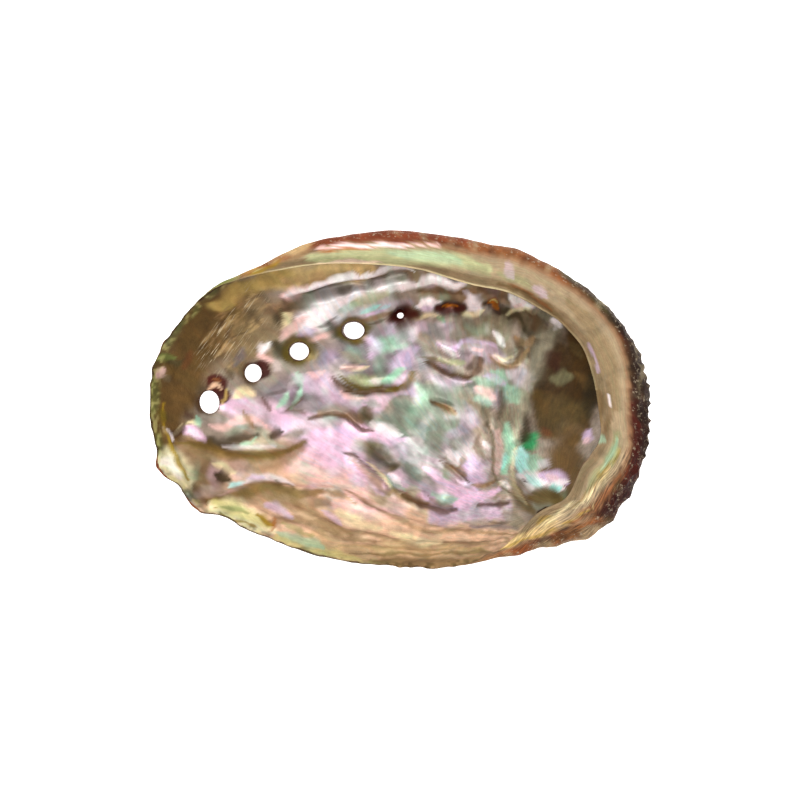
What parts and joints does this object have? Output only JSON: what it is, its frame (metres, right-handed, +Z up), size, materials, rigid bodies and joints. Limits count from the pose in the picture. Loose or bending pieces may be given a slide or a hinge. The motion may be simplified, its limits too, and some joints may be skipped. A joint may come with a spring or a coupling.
{
  "type": "abalone shell",
  "caption": "Ear-shaped sea shell lying open side up: a shallow pearly bowl with a folded shelf along one side, a row of breathing holes and a rough corrugated back.",
  "frame": {"origin": "centre of the bounding box in plan, at the height of the worn knobs that the shell stands on", "axes": "+X towards the spire end, along the shell's length; +Y towards the side with the folded shelf; +Z up, out of the bowl's mouth"},
  "size_m": [0.14, 0.0948, 0.0359],
  "materials": {
    "shell": "pearly inside, rough brick and grey-green outside"
  },
  "bodies": {
    "root": {"abalone_shell": "shell"}
  },
  "joints": []
}
